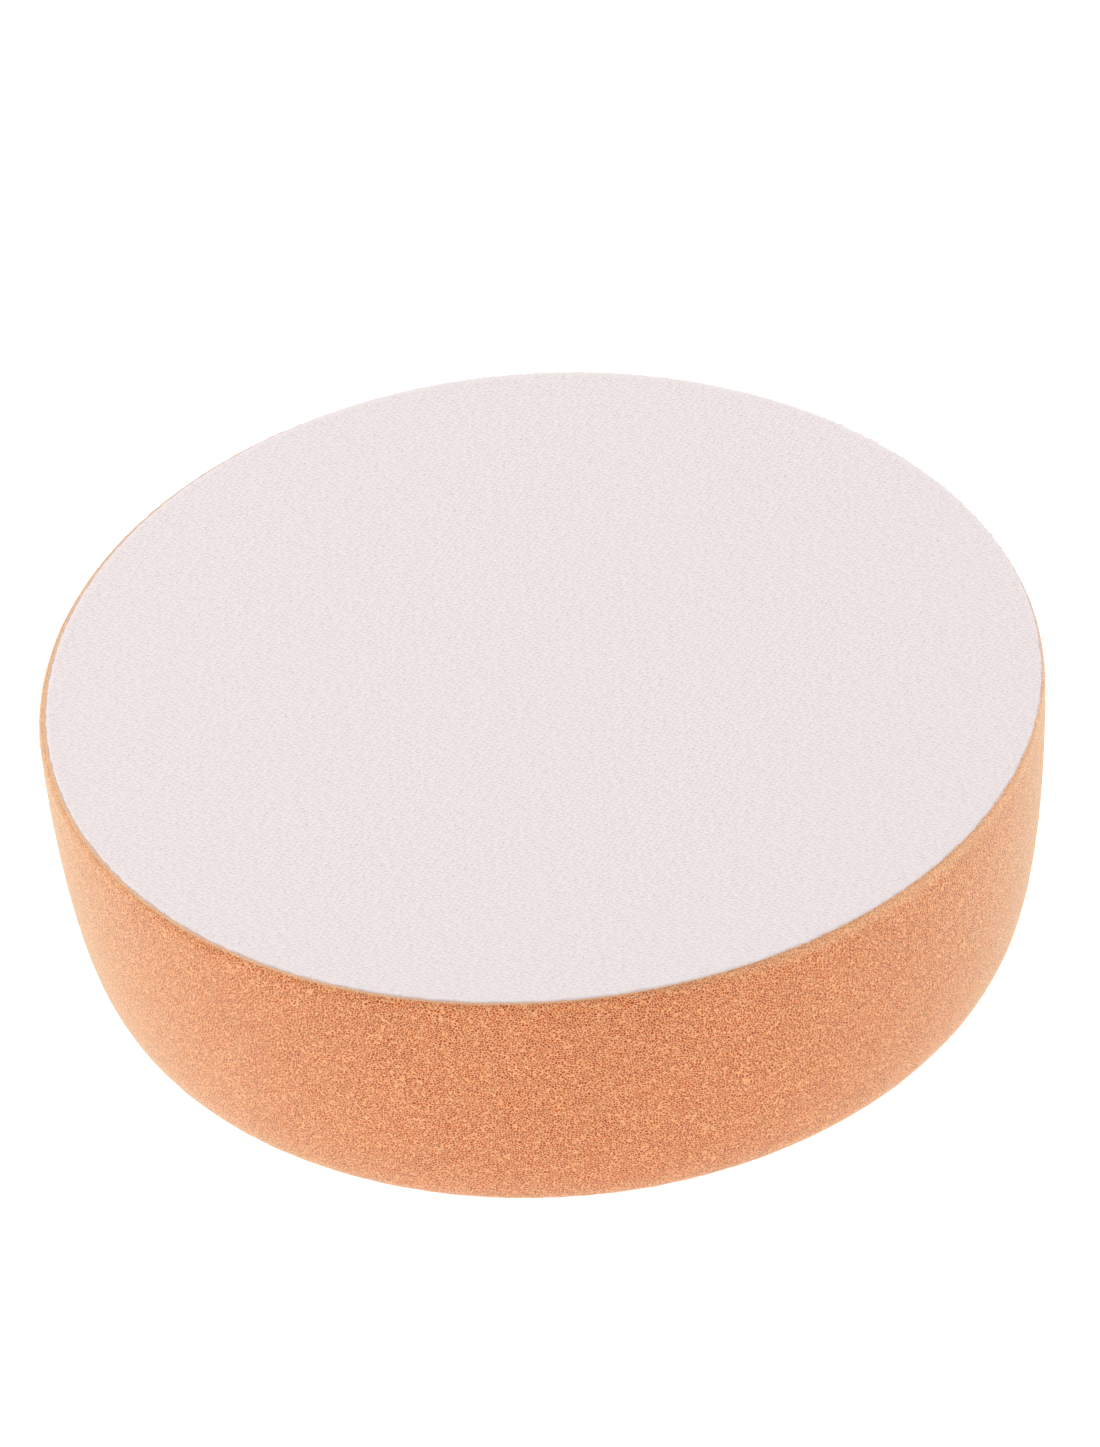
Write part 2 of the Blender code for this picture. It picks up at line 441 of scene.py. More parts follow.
# A cube's square faces are drawn round into discs, so the quads stay even from the middle to
# the rim, and its walls follow the profile curve.
def makeTurnedLayerTree():
    tree, given, result = newTree("turnedLayer", {
        "Quads Across": ("Int", 40),
        "Rows": ("Int", 1),
        "Rim Crowding": ("Float", 1.0),
        "Relief Depth": ("Float", 0.0),
        "Relief Size": ("Float", 0.002),
        "Cut Wander": ("Float", 0.0),
        "Cut Step": ("Float", 0.001),
        "Shift": ("Vector", (0.0, 0.0, 0.0)),
        "Seed": ("Float", 1.0),
        "Material": ("Material", None),
    })
    acrossPoints = addNode(tree, "ShaderNodeMath", {
        0: given.outputs["Quads Across"], 1: 1.0}, operation="ADD")
    rowPoints = addNode(tree, "ShaderNodeMath", {
        0: given.outputs["Rows"], 1: 1.0}, operation="ADD")
    cube = addNode(tree, "GeometryNodeMeshCube", {
        "Size": (2.0, 2.0, 2.0), "Vertices X": acrossPoints.outputs[0],
        "Vertices Y": acrossPoints.outputs[0], "Vertices Z": rowPoints.outputs[0]})
    place = addNode(tree, "GeometryNodeInputPosition").outputs[0]
    parts = addNode(tree, "ShaderNodeSeparateXYZ", {0: place})
    sizeX = addNode(tree, "ShaderNodeMath", {0: parts.outputs["X"]}, operation="ABSOLUTE")
    sizeY = addNode(tree, "ShaderNodeMath", {0: parts.outputs["Y"]}, operation="ABSOLUTE")
    ring = addNode(tree, "ShaderNodeMath", {
        0: sizeX.outputs[0], 1: sizeY.outputs[0]}, operation="MAXIMUM")
    ringSafe = addNode(tree, "ShaderNodeMath", {
        0: ring.outputs[0], 1: 0.000001}, operation="MAXIMUM")    # the middle is never divided by 0
    tangents = []
    for axis in ("X", "Y"):
        onSquare = addNode(tree, "ShaderNodeMath", {
            0: parts.outputs[axis], 1: ringSafe.outputs[0]}, operation="DIVIDE")
        eighth = addNode(tree, "ShaderNodeMath", {
            0: onSquare.outputs[0], 1: math.pi / 4}, operation="MULTIPLY")
        tangents.append(addNode(tree, "ShaderNodeMath", {
            0: eighth.outputs[0]}, operation="TANGENT").outputs[0])
    angle = addNode(tree, "ShaderNodeMath", {
        0: tangents[1], 1: tangents[0]}, operation="ARCTAN2").outputs[0]

    # height on the cube, 0 to 1, crowded towards the rim, becomes the way along the profile
    fromTop = addNode(tree, "ShaderNodeMapRange", {
        "Value": parts.outputs["Z"], "From Min": 1.0, "From Max": -1.0})
    crowded = addNode(tree, "ShaderNodeMath", {
        0: fromTop.outputs["Result"], 1: given.outputs["Rim Crowding"]}, operation="POWER")
    along = addNode(tree, "ShaderNodeMath", {
        0: 1.0, 1: crowded.outputs[0]}, operation="SUBTRACT", use_clamp=True)
    section = addNode(tree, "GeometryNodeSampleCurve", {
        "Curves": given.outputs["Geometry"], "Factor": along.outputs[0]}, mode="FACTOR")
    sectionParts = addNode(tree, "ShaderNodeSeparateXYZ", {0: section.outputs["Position"]})

    kept = addNode(tree, "GeometryNodeStoreNamedAttribute", {
        "Geometry": cube.outputs["Mesh"], "Name": "section",
        "Value": section.outputs["Position"]}, data_type="FLOAT_VECTOR", domain="POINT")

    # the cut edge wanders a little where the knife met the threads
    around = addNode(tree, "ShaderNodeVectorRotate", {
        "Vector": (1.0, 0.0, 0.0), "Angle": angle}, rotation_type="Z_AXIS").outputs[0]
    onRim = addNode(tree, "ShaderNodeVectorMath", {
        0: around, "Scale": sectionParts.outputs["X"]}, operation="SCALE")
    cutScale = addNode(tree, "ShaderNodeMath", {
        0: 1.0, 1: given.outputs["Cut Step"]}, operation="DIVIDE")
    cutNoise = addNode(tree, "ShaderNodeTexNoise", {
        "Vector": onRim.outputs[0], "W": given.outputs["Seed"],
        "Scale": cutScale.outputs[0], "Detail": 1.0}, noise_dimensions="4D")
    cutMoved = addNode(tree, "ShaderNodeMapRange", {
        "Value": cutNoise.outputs[0], "From Min": noiseLow, "From Max": noiseHigh,
        "To Min": -1.0, "To Max": 1.0}, clamp=False)
    cut = addNode(tree, "ShaderNodeMath", {
        0: cutMoved.outputs["Result"], 1: given.outputs["Cut Wander"],
        2: sectionParts.outputs["X"]}, operation="MULTIPLY_ADD")
    radius = addNode(tree, "ShaderNodeMath", {
        0: cut.outputs[0], 1: ring.outputs[0]}, operation="MULTIPLY")
    flat = addNode(tree, "ShaderNodeVectorMath", {
        0: around, "Scale": radius.outputs[0]}, operation="SCALE")
    upright = addNode(tree, "ShaderNodeCombineXYZ", {"Z": sectionParts.outputs["Z"]})
    rounded = addNode(tree, "ShaderNodeVectorMath", {
        0: flat.outputs[0], 1: upright.outputs[0]}, operation="ADD")
    shaped = addNode(tree, "GeometryNodeSetPosition", {
        "Geometry": kept.outputs["Geometry"], "Position": rounded.outputs[0]})

    # relief goes inwards only, so the size stays true
    normal = addNode(tree, "GeometryNodeInputNormal").outputs[0]
    reliefScale = addNode(tree, "ShaderNodeMath", {
        0: 1.0, 1: given.outputs["Relief Size"]}, operation="DIVIDE")
    relief = addNode(tree, "ShaderNodeTexNoise", {
        "Vector": place, "W": given.outputs["Seed"], "Scale": reliefScale.outputs[0],
        "Detail": 2.0, "Roughness": 0.6}, noise_dimensions="4D")
    sunk = addNode(tree, "ShaderNodeMapRange", {
        "Value": relief.outputs[0], "From Min": noiseLow, "From Max": noiseHigh,
        "To Min": -1.0, "To Max": 0.0}, clamp=True)
    depth = addNode(tree, "ShaderNodeMath", {
        0: sunk.outputs["Result"], 1: given.outputs["Relief Depth"]}, operation="MULTIPLY")
    inwards = addNode(tree, "ShaderNodeVectorMath", {
        0: normal, "Scale": depth.outputs[0]}, operation="SCALE")
    rough = addNode(tree, "GeometryNodeSetPosition", {
        "Geometry": shaped.outputs["Geometry"], "Offset": inwards.outputs[0]})
    lying = settled(tree, rough.outputs["Geometry"])
    shifted = addNode(tree, "GeometryNodeSetPosition", {
        "Geometry": lying, "Offset": given.outputs["Shift"]})
    smooth = addNode(tree, "GeometryNodeSetShadeSmooth", {
        "Geometry": shifted.outputs["Geometry"], "Shade Smooth": True})
    realised = addNode(tree, "GeometryNodeRealizeInstances", {
        "Geometry": smooth.outputs["Geometry"]})
    coloured = addNode(tree, "GeometryNodeSetMaterial", {
        "Geometry": realised.outputs["Geometry"], "Material": given.outputs["Material"]})
    tree.links.new(coloured.outputs["Geometry"], result.inputs["Geometry"])
    return tree


turnedLayerTree = makeTurnedLayerTree()

foam = {
    "sideInset": 0.0084,      # how far the side curves in by the working face
    "wall": 0.0019,           # height of the straight part under the rim
    "belly": (2.43, 1.37),    # powers of the side's curve, inwards and down: 2 and 2 is an ellipse
    "sideSteps": 40,
    "shoulder": (0.0008, 0.0013),   # the rim's rounding, inwards and down
    "shoulderSteps": 12,
    "quadsAcross": 164,       # 0.7 mm quads, which keeps the body under 200,000 triangles
    "rows": 70,
    "rimCrowding": 1.25,
    "reliefDepth": 0.00012,
    "reliefSize": 0.0020,
    "seed": 3.0,
    "fill": 0.9,
}


def makeFoamBody():
    curveTop = foamTop - foam["wall"]
    powerIn, powerDown = foam["belly"]
    points = []
    for i in range(foam["sideSteps"] + 1):
        angle = math.pi / 2 * (1 - i / foam["sideSteps"])
        out = max(math.cos(angle), 0.0) ** (2 / powerIn)
        down = math.sin(angle) ** (2 / powerDown)
        points.append((padRadius - foam["sideInset"] * (1 - out), curveTop * (1 - down)))
    shoulderCentre = (padRadius - foam["shoulder"][0], foamTop - foam["shoulder"][1])
    points += arcPoints(shoulderCentre, foam["shoulder"], 0, 90, foam["shoulderSteps"])
    return runTree(profileCurve("foamProfile", points), turnedLayerTree, {
        "Quads Across": foam["quadsAcross"],
        "Rows": foam["rows"],
        "Rim Crowding": foam["rimCrowding"],
        "Relief Depth": foam["reliefDepth"],
        "Relief Size": foam["reliefSize"],
        "Seed": foam["seed"],
        "Material": foamMaterial,
    }, "foamBody")


fabric = {
    "filmLow": -0.00035,      # heights above the foam's top: the layers are pressed together
    "filmHigh": -0.00015,
    "filmInset": 0.0003,      # the film ends this far inside the cloth
    "clothLow": -0.00025,     # its lower edge is sunk in the foam
    "clothHigh": 0.00028,
    "clothEdge": 0.00020,     # radius where the cut edge rounds over
    "clothEdgeSteps": 6,
    "clothRows": 8,
    "clothQuads": 160,        # across, fine enough for the teeth of the cut edge
    "filmQuads": 80,
    "cutWander": 0.00014,     # to either side
    "cutStep": 0.0016,
    "shift": (0.00033, 0.00010, 0.0),   # the fabric is glued on slightly off centre
    "seed": 7.0,
}


def makeFilm():
    radius = clothRadius - fabric["filmInset"]
    points = [(radius, foamTop + fabric["filmLow"]), (radius, foamTop + fabric["filmHigh"])]
    return runTree(profileCurve("filmProfile", points), turnedLayerTree, {
        "Quads Across": fabric["filmQuads"],
        "Cut Wander": fabric["cutWander"],
        "Cut Step": fabric["cutStep"],
        "Shift": fabric["shift"],
        "Seed": fabric["seed"],
        "Material": filmMaterial,
    }, "meltFilm")


def makeGroundCloth():
    low = foamTop + fabric["clothLow"]
    high = foamTop + fabric["clothHigh"]
    edge = fabric["clothEdge"]
    points = [(clothRadius, low)]
    points += arcPoints((clothRadius - edge, high - edge), (edge, edge), 0, 90, fabric["clothEdgeSteps"])
    return runTree(profileCurve("clothProfile", points), turnedLayerTree, {
        "Quads Across": fabric["clothQuads"],
        "Rows": fabric["clothRows"],
        "Cut Wander": fabric["cutWander"],
        "Cut Step": fabric["cutStep"],
        "Shift": fabric["shift"],
        "Seed": fabric["seed"],
        "Material": groundMaterial,
    }, "groundCloth")


foamBody = makeFoamBody()
meltFilm = makeFilm()
groundCloth = makeGroundCloth()


loops = {
    "wale": 0.00095,
    "course": 0.00068,
    "knitTurn": 0.14,         # the knit lies this far round from the pad's X, in radians
    "height": 0.00090,        # of an arch that stands upright
    "width": 0.00080,
    "handles": 1.333,         # how far up they stand, of the height: this brings the arch to it
    "yarn": 0.000021,         # radius, thin because the fuzz that hides real yarn isn't modelled
    "lean": 1.50,             # the loops are brushed over, in radians
    "leanSpread": 0.01,
    "turnSpread": 0.38,
    "jitter": 0.00010,
    "sizes": (0.96, 1.04),    # the smallest and the largest, of the size above
    "archSteps": 4,
    "yarnSides": 3,
    "seed": 11,
}


def makeLoopPileTree():
    tree, given, result = newTree("loopPile", {
        "Disc Radius": ("Float", 0.0739),
        "Wale": ("Float", 0.001),
        "Course": ("Float", 0.001),
        "Knit Turn": ("Float", 0.0),
        "Base": ("Float", 0.0435),
        "Height": ("Float", 0.001),
        "Width": ("Float", 0.001),
        "Handles": ("Float", 1.333),
        "Yarn Radius": ("Float", 0.0001),
        "Lean": ("Float", 0.5),
        "Lean Spread": ("Float", 0.2),
        "Turn Spread": ("Float", 1.0),
        "Jitter": ("Float", 0.0002),
        "Smallest": ("Float", 0.9),
        "Largest": ("Float", 1.1),
        "Arch Steps": ("Int", 4),
        "Yarn Sides": ("Int", 3),
        "Shift": ("Vector", (0.0, 0.0, 0.0)),
        "Quarter": ("Int", 0),
        "Seed": ("Int", 0),
        "Material": ("Material", None),
    })
    across = addNode(tree, "ShaderNodeMath", {
        0: given.outputs["Disc Radius"], 1: 2.0}, operation="MULTIPLY").outputs[0]
    columns = addNode(tree, "ShaderNodeMath", {
        0: across, 1: given.outputs["Wale"]}, operation="DIVIDE")
    rowShare = addNode(tree, "ShaderNodeMath", {
        0: across, 1: given.outputs["Course"]}, operation="DIVIDE")
    rows = addNode(tree, "ShaderNodeMath", {0: rowShare.outputs[0]}, operation="FLOOR")
    grid = addNode(tree, "GeometryNodeMeshGrid", {
        "Size X": across, "Size Y": across,
        "Vertices X": columns.outputs[0], "Vertices Y": rows.outputs[0]})
    stitches = addNode(tree, "GeometryNodeMeshToPoints", {"Mesh": grid.outputs["Mesh"]})

    # every other row is shifted by half a column, as the knitting needles lap
    row = addNode(tree, "ShaderNodeMath", {
        0: addNode(tree, "GeometryNodeInputIndex").outputs[0], 1: rows.outputs[0]},
        operation="MODULO")
    oddRow = addNode(tree, "ShaderNodeMath", {0: row.outputs[0], 1: 2.0}, operation="MODULO")
    halfColumn = addNode(tree, "ShaderNodeMath", {
        0: given.outputs["Wale"], 1: 0.5}, operation="MULTIPLY")
    lap = addNode(tree, "ShaderNodeMath", {
        0: oddRow.outputs[0], 1: halfColumn.outputs[0]}, operation="MULTIPLY")
    jitterLow = addNode(tree, "ShaderNodeMath", {
        0: given.outputs["Jitter"], 1: -1.0}, operation="MULTIPLY")
    jitterX = addNode(tree, "FunctionNodeRandomValue", {
        2: jitterLow.outputs[0], 3: given.outputs["Jitter"], "Seed": given.outputs["Seed"]},
        data_type="FLOAT")
    seedTwo = addNode(tree, "ShaderNodeMath", {
        0: given.outputs["Seed"], 1: 101.0}, operation="ADD")
    jitterY = addNode(tree, "FunctionNodeRandomValue", {
        2: jitterLow.outputs[0], 3: given.outputs["Jitter"], "Seed": seedTwo.outputs[0]},
        data_type="FLOAT")
    lapAndJitter = addNode(tree, "ShaderNodeMath", {
        0: jitterX.outputs[1], 1: lap.outputs[0]}, operation="ADD")
    jitter = addNode(tree, "ShaderNodeCombineXYZ", {
        "X": lapAndJitter.outputs[0], "Y": jitterY.outputs[1]})
    place = addNode(tree, "GeometryNodeInputPosition").outputs[0]
    jittered = addNode(tree, "ShaderNodeVectorMath", {
        0: place, 1: jitter.outputs[0]}, operation="ADD")
    turned = addNode(tree, "ShaderNodeVectorRotate", {
        "Vector": jittered.outputs[0], "Angle": given.outputs["Knit Turn"]},
        rotation_type="Z_AXIS")
    lifted = addNode(tree, "ShaderNodeCombineXYZ", {"Z": given.outputs["Base"]})
    spread = addNode(tree, "GeometryNodeSetPosition", {
        "Geometry": stitches.outputs["Points"], "Position": turned.outputs[0],
        "Offset": lifted.outputs[0]})

    # only the stitches inside the cut disc, and in this quarter of it
    parts = addNode(tree, "ShaderNodeSeparateXYZ", {0: place})
    flat = addNode(tree, "ShaderNodeCombineXYZ", {
        "X": parts.outputs["X"], "Y": parts.outputs["Y"]})
    fromAxis = addNode(tree, "ShaderNodeVectorMath", {0: flat.outputs[0]}, operation="LENGTH")
    outside = addNode(tree, "FunctionNodeCompare", {
        0: fromAxis.outputs["Value"], 1: given.outputs["Disc Radius"]}, operation="GREATER_THAN")
    angle = addNode(tree, "ShaderNodeMath", {
        0: parts.outputs["Y"], 1: parts.outputs["X"]}, operation="ARCTAN2")
    quarterOf = addNode(tree, "ShaderNodeMapRange", {
        "Value": angle.outputs[0], "From Min": -math.pi, "From Max": math.pi,
        "To Min": 0.0, "To Max": 3.9999})      # just under 4, so the last one is quarter 3
    quarterWhole = addNode(tree, "ShaderNodeMath", {
        0: quarterOf.outputs["Result"]}, operation="FLOOR")
    elsewhere = addNode(tree, "FunctionNodeCompare", {
        2: quarterWhole.outputs[0], 3: given.outputs["Quarter"]},
        data_type="INT", operation="NOT_EQUAL")
    unwanted = addNode(tree, "FunctionNodeBooleanMath", {
        0: outside.outputs[0], 1: elsewhere.outputs[0]}, operation="OR")
    kept = addNode(tree, "GeometryNodeDeleteGeometry", {
        "Geometry": spread.outputs["Geometry"], "Selection": unwanted.outputs[0]},
        domain="POINT")

    # one loop: an arch of yarn that stands on the X axis, drawn by the handles of a curve
    half = addNode(tree, "ShaderNodeMath", {
        0: given.outputs["Width"], 1: 0.5}, operation="MULTIPLY").outputs[0]
    halfBack = addNode(tree, "ShaderNodeMath", {0: half, 1: -1.0}, operation="MULTIPLY").outputs[0]
    pull = addNode(tree, "ShaderNodeMath", {
        0: given.outputs["Height"], 1: given.outputs["Handles"]}, operation="MULTIPLY").outputs[0]
    start = addNode(tree, "ShaderNodeCombineXYZ", {"X": halfBack})
    startPull = addNode(tree, "ShaderNodeCombineXYZ", {"X": halfBack, "Z": pull})
    endPull = addNode(tree, "ShaderNodeCombineXYZ", {"X": half, "Z": pull})
    end = addNode(tree, "ShaderNodeCombineXYZ", {"X": half})
    arch = addNode(tree, "GeometryNodeCurvePrimitiveBezierSegment", {
        "Resolution": given.outputs["Arch Steps"],
        "Start": start.outputs[0], "Start Handle": startPull.outputs[0],
        "End Handle": endPull.outputs[0], "End": end.outputs[0]})
    yarn = addNode(tree, "GeometryNodeCurvePrimitiveCircle", {
        "Resolution": given.outputs["Yarn Sides"], "Radius": given.outputs["Yarn Radius"]})
    loop = addNode(tree, "GeometryNodeCurveToMesh", {
        "Curve": arch.outputs["Curve"], "Profile Curve": yarn.outputs["Curve"],
        "Fill Caps": True})

    leanLow = addNode(tree, "ShaderNodeMath", {
        0: given.outputs["Lean"], 1: given.outputs["Lean Spread"]}, operation="SUBTRACT")
    leanHigh = addNode(tree, "ShaderNodeMath", {
        0: given.outputs["Lean"], 1: given.outputs["Lean Spread"]}, operation="ADD")
    seedThree = addNode(tree, "ShaderNodeMath", {
        0: given.outputs["Seed"], 1: 202.0}, operation="ADD")
    lean = addNode(tree, "FunctionNodeRandomValue", {
        2: leanLow.outputs[0], 3: leanHigh.outputs[0], "Seed": seedThree.outputs[0]},
        data_type="FLOAT")
    turnLow = addNode(tree, "ShaderNodeMath", {
        0: given.outputs["Turn Spread"], 1: -1.0}, operation="MULTIPLY")
    seedFour = addNode(tree, "ShaderNodeMath", {
        0: given.outputs["Seed"], 1: 303.0}, operation="ADD")
    turn = addNode(tree, "FunctionNodeRandomValue", {
        2: turnLow.outputs[0], 3: given.outputs["Turn Spread"], "Seed": seedFour.outputs[0]},
        data_type="FLOAT")
    rotation = addNode(tree, "ShaderNodeCombineXYZ", {
        "X": lean.outputs[1], "Z": turn.outputs[1]})
    seedFive = addNode(tree, "ShaderNodeMath", {
        0: given.outputs["Seed"], 1: 404.0}, operation="ADD")
    size = addNode(tree, "FunctionNodeRandomValue", {
        2: given.outputs["Smallest"], 3: given.outputs["Largest"],
        "Seed": seedFive.outputs[0]}, data_type="FLOAT")
    planted = addNode(tree, "GeometryNodeInstanceOnPoints", {
        "Points": kept.outputs["Geometry"], "Instance": loop.outputs["Mesh"],
        "Rotation": rotation.outputs[0], "Scale": size.outputs[1]})
    realised = addNode(tree, "GeometryNodeRealizeInstances", {
        "Geometry": planted.outputs["Instances"]})
    lying = settled(tree, realised.outputs["Geometry"])
    shifted = addNode(tree, "GeometryNodeSetPosition", {
        "Geometry": lying, "Offset": given.outputs["Shift"]})
    smooth = addNode(tree, "GeometryNodeSetShadeSmooth", {
        "Geometry": shifted.outputs["Geometry"], "Shade Smooth": True})
    coloured = addNode(tree, "GeometryNodeSetMaterial", {
        "Geometry": smooth.outputs["Geometry"], "Material": given.outputs["Material"]})
    tree.links.new(coloured.outputs["Geometry"], result.inputs["Geometry"])
    return tree


loopPileTree = makeLoopPileTree()


def emptyStart(name):
    # the tree makes all of its own geometry, and this only carries the modifier
    return profileCurve(name, [(0.0, 0.0), (1.0, 0.0)])


def makeLoopPile(quarter):
    return runTree(emptyStart("pileStart"), loopPileTree, {
        "Disc Radius": pileRadius,
        "Wale": loops["wale"],
        "Course": loops["course"],
        "Knit Turn": loops["knitTurn"],
        "Base": foamTop + fabric["clothHigh"] - loops["yarn"],
        "Height": loops["height"],
        "Width": loops["width"],
        "Handles": loops["handles"],
        "Yarn Radius": loops["yarn"],
        "Lean": loops["lean"],
        "Lean Spread": loops["leanSpread"],
        "Turn Spread": loops["turnSpread"],
        "Jitter": loops["jitter"],
        "Smallest": loops["sizes"][0],
        "Largest": loops["sizes"][1],
        "Arch Steps": loops["archSteps"],
        "Yarn Sides": loops["yarnSides"],
        "Shift": fabric["shift"],
        "Quarter": quarter,
        "Seed": loops["seed"],
        "Material": loopMaterial,
    }, f"loopPile{quarter + 1}")


# in four quarters, so that no piece is too heavy
loopPile = [makeLoopPile(quarter) for quarter in range(4)]


yarnEnds = {
    "spacing": 0.00015,       # along the cut edge
    "rise": 0.00010,          # above the foam's top
    "riseSpread": 0.00010,
    "reach": 0.00040,         # how far the longest stand out from the cut edge
    "droop": 0.00008,
    "yarn": 0.00005,
    "turnSpread": 0.9,        # radians to either side of straight out
    "inCloth": 0.4,           # share of an end that lies in the fabric
    "bendsAt": 0.6,           # share of the reach where it starts to droop
    "sizes": (0.4, 1.0),      # the smallest and the largest, of the size above
    "bendSteps": 3,
    "yarnSides": 3,
    "seed": 23,
}


def makeYarnEndTree():
    # short ends of yarn left all round by the knife
    tree, given, result = newTree("yarnEnds", {
        "Edge Radius": ("Float", 0.0741),
        "Spacing": ("Float", 0.0003),
        "Height": ("Float", 0.0426),
        "Height Spread": ("Float", 0.0002),
        "Reach": ("Float", 0.0005),
        "Droop": ("Float", 0.0002),
        "Yarn Radius": ("Float", 0.00004),
        "Turn Spread": ("Float", 0.9),
        "In Cloth": ("Float", 0.4),
        "Bends At": ("Float", 0.6),
        "Smallest": ("Float", 0.5),
        "Largest": ("Float", 1.0),
        "Bend Steps": ("Int", 3),
        "Yarn Sides": ("Int", 3),
        "Shift": ("Vector", (0.0, 0.0, 0.0)),
        "Seed": ("Int", 0),
        "Material": ("Material", None),
    })
    girth = addNode(tree, "ShaderNodeMath", {
        0: given.outputs["Edge Radius"], 1: 2 * math.pi}, operation="MULTIPLY")
    count = addNode(tree, "ShaderNodeMath", {
        0: girth.outputs[0], 1: given.outputs["Spacing"]}, operation="DIVIDE")
    edge = addNode(tree, "GeometryNodeMeshCircle", {
        "Vertices": count.outputs[0], "Radius": given.outputs["Edge Radius"]}, fill_type="NONE")
    ends = addNode(tree, "GeometryNodeMeshToPoints", {"Mesh": edge.outputs["Mesh"]})
    rise = addNode(tree, "FunctionNodeRandomValue", {
        3: given.outputs["Height Spread"], "Seed": given.outputs["Seed"]}, data_type="FLOAT")
    height = addNode(tree, "ShaderNodeMath", {
        0: rise.outputs[1], 1: given.outputs["Height"]}, operation="ADD")
    up = addNode(tree, "ShaderNodeCombineXYZ", {"Z": height.outputs[0]})
    raised = addNode(tree, "GeometryNodeSetPosition", {
        "Geometry": ends.outputs["Points"], "Offset": up.outputs[0]})

    droop = addNode(tree, "ShaderNodeMath", {
        0: given.outputs["Droop"], 1: -1.0}, operation="MULTIPLY")
    bendPlace = addNode(tree, "ShaderNodeMath", {
        0: given.outputs["Reach"], 1: given.outputs["Bends At"]}, operation="MULTIPLY")
    hidden = addNode(tree, "ShaderNodeMath", {
        0: given.outputs["Reach"], 1: given.outputs["In Cloth"]}, operation="MULTIPLY")
    inside = addNode(tree, "ShaderNodeMath", {
        0: hidden.outputs[0], 1: -1.0}, operation="MULTIPLY")
    root = addNode(tree, "ShaderNodeCombineXYZ", {"X": inside.outputs[0]})
    middle = addNode(tree, "ShaderNodeCombineXYZ", {"X": bendPlace.outputs[0]})
    tip = addNode(tree, "ShaderNodeCombineXYZ", {
        "X": given.outputs["Reach"], "Z": droop.outputs[0]})
    bend = addNode(tree, "GeometryNodeCurveQuadraticBezier", {
        "Resolution": given.outputs["Bend Steps"], "Start": root.outputs[0],
        "Middle": middle.outputs[0], "End": tip.outputs[0]})
    yarn = addNode(tree, "GeometryNodeCurvePrimitiveCircle", {
        "Resolution": given.outputs["Yarn Sides"], "Radius": given.outputs["Yarn Radius"]})
    end = addNode(tree, "GeometryNodeCurveToMesh", {
        "Curve": bend.outputs["Curve"], "Profile Curve": yarn.outputs["Curve"],
        "Fill Caps": True})

    parts = addNode(tree, "ShaderNodeSeparateXYZ", {
        0: addNode(tree, "GeometryNodeInputPosition").outputs[0]})
    outwards = addNode(tree, "ShaderNodeMath", {
        0: parts.outputs["Y"], 1: parts.outputs["X"]}, operation="ARCTAN2")
    turnLow = addNode(tree, "ShaderNodeMath", {
        0: given.outputs["Turn Spread"], 1: -1.0}, operation="MULTIPLY")
    seedTwo = addNode(tree, "ShaderNodeMath", {
        0: given.outputs["Seed"], 1: 101.0}, operation="ADD")
    turn = addNode(tree, "FunctionNodeRandomValue", {
        2: turnLow.outputs[0], 3: given.outputs["Turn Spread"], "Seed": seedTwo.outputs[0]},
        data_type="FLOAT")
    turned = addNode(tree, "ShaderNodeMath", {
        0: outwards.outputs[0], 1: turn.outputs[1]}, operation="ADD")
    rotation = addNode(tree, "ShaderNodeCombineXYZ", {"Z": turned.outputs[0]})
    seedThree = addNode(tree, "ShaderNodeMath", {
        0: given.outputs["Seed"], 1: 202.0}, operation="ADD")
    size = addNode(tree, "FunctionNodeRandomValue", {
        2: given.outputs["Smallest"], 3: given.outputs["Largest"],
        "Seed": seedThree.outputs[0]}, data_type="FLOAT")
    planted = addNode(tree, "GeometryNodeInstanceOnPoints", {
        "Points": raised.outputs["Geometry"], "Instance": end.outputs["Mesh"],
        "Rotation": rotation.outputs[0], "Scale": size.outputs[1]})
    realised = addNode(tree, "GeometryNodeRealizeInstances", {
        "Geometry": planted.outputs["Instances"]})
    lying = settled(tree, realised.outputs["Geometry"])
    shifted = addNode(tree, "GeometryNodeSetPosition", {
        "Geometry": lying, "Offset": given.outputs["Shift"]})
    coloured = addNode(tree, "GeometryNodeSetMaterial", {
        "Geometry": shifted.outputs["Geometry"], "Material": given.outputs["Material"]})
    tree.links.new(coloured.outputs["Geometry"], result.inputs["Geometry"])
    return tree


def makeYarnEnds():
    return runTree(emptyStart("yarnEndStart"), makeYarnEndTree(), {
        "Edge Radius": clothRadius,
        "Spacing": yarnEnds["spacing"],
        "Height": foamTop + yarnEnds["rise"],
        "Height Spread": yarnEnds["riseSpread"],
        "Reach": yarnEnds["reach"],
        "Droop": yarnEnds["droop"],
        "Yarn Radius": yarnEnds["yarn"],
        "Turn Spread": yarnEnds["turnSpread"],
        "In Cloth": yarnEnds["inCloth"],
        "Bends At": yarnEnds["bendsAt"],
        "Smallest": yarnEnds["sizes"][0],
        "Largest": yarnEnds["sizes"][1],
        "Bend Steps": yarnEnds["bendSteps"],
        "Yarn Sides": yarnEnds["yarnSides"],
        "Shift": fabric["shift"],
        "Seed": yarnEnds["seed"],
        "Material": loopMaterial,
    }, "cutYarnEnds")


cutYarnEnds = makeYarnEnds()


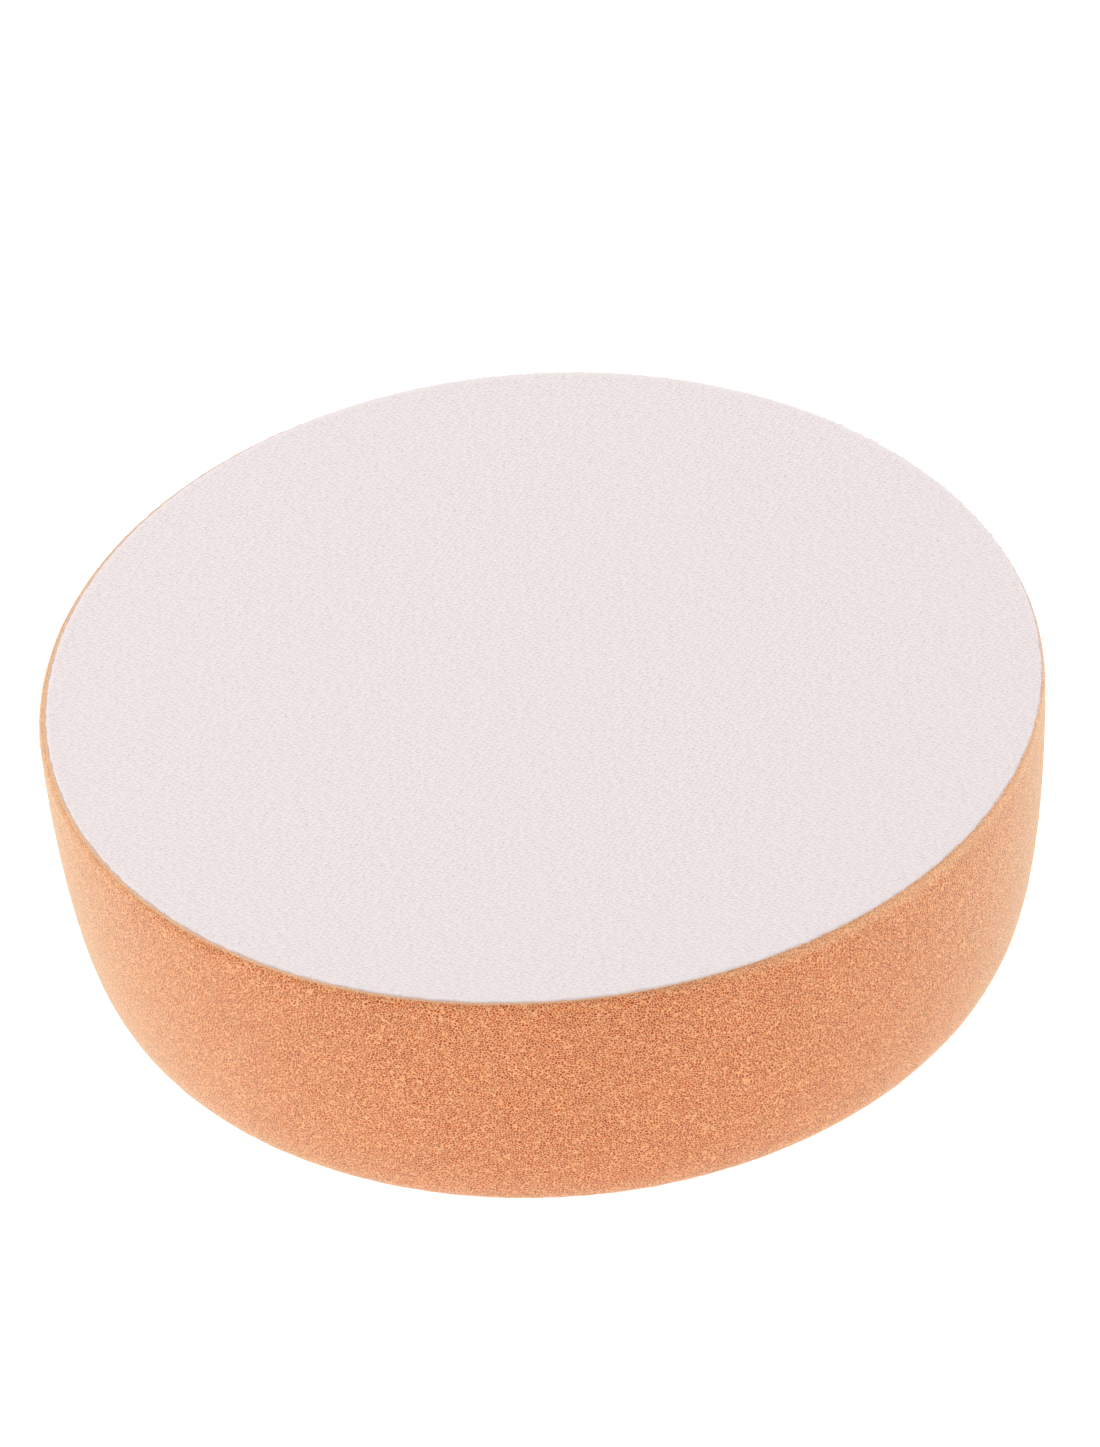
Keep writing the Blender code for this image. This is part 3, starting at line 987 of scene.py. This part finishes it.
studio = {
    "floorSize": 6.0,
    "floorColour": "#C8C8C8",
    "floorGlow": 0.87,        # a white light table, so there is hardly a shadow
    "worldColour": "#FFFFFF",
    "worldStrength": 0.68,
    "softboxes": {            # place, and power in watts
        "leftSoftbox": ((-0.9, 0.1, 0.45), 2.8),
        "rightSoftbox": ((0.9, 0.1, 0.45), 1.5),
        "topSoftbox": ((0.0, 0.2, 1.1), 2.15),
    },
    "softboxSize": 0.9,
}


def makeStage():
    bpy.ops.mesh.primitive_plane_add(size=studio["floorSize"])
    floor = bpy.context.active_object
    floor.name = "lightTable"
    material, _, shader = newMaterial("opalAcrylicTable")
    shader.inputs["Base Color"].default_value = hexToLinear(studio["floorColour"])
    shader.inputs["Roughness"].default_value = 0.9
    shader.inputs["Specular IOR Level"].default_value = 0.1
    shader.inputs["Emission Color"].default_value = (1.0, 1.0, 1.0, 1.0)
    shader.inputs["Emission Strength"].default_value = studio["floorGlow"]
    floor.data.materials.append(material)

    world = bpy.data.worlds.new("studioWorld")
    world.use_nodes = True
    sky = world.node_tree.nodes["Background"]
    sky.inputs["Color"].default_value = hexToLinear(studio["worldColour"])
    sky.inputs["Strength"].default_value = studio["worldStrength"]
    bpy.context.scene.world = world

    for name, (place, power) in studio["softboxes"].items():
        lamp = bpy.data.lights.new(name, "AREA")
        lamp.shape = "SQUARE"
        lamp.size = studio["softboxSize"]
        lamp.energy = power
        light = bpy.data.objects.new(name, lamp)
        light.location = place
        towards = Vector((0.0, 0.0, foamTop / 2)) - Vector(place)
        light.rotation_euler = towards.to_track_quat("-Z", "Y").to_euler()
        bpy.context.scene.collection.objects.link(light)
    bpy.context.scene.view_settings.view_transform = "Standard"
    print("stage: table, world and 3 softboxes")


makeStage()


for piece in (foamBody, meltFilm, groundCloth, cutYarnEnds, *loopPile):
    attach(piece, body)
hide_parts("foam_disc")
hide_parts("adhesive_film")
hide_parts("ground_cloth")
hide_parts("ground_cloth")
for piece in loopPile:
    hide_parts("loop_pile")
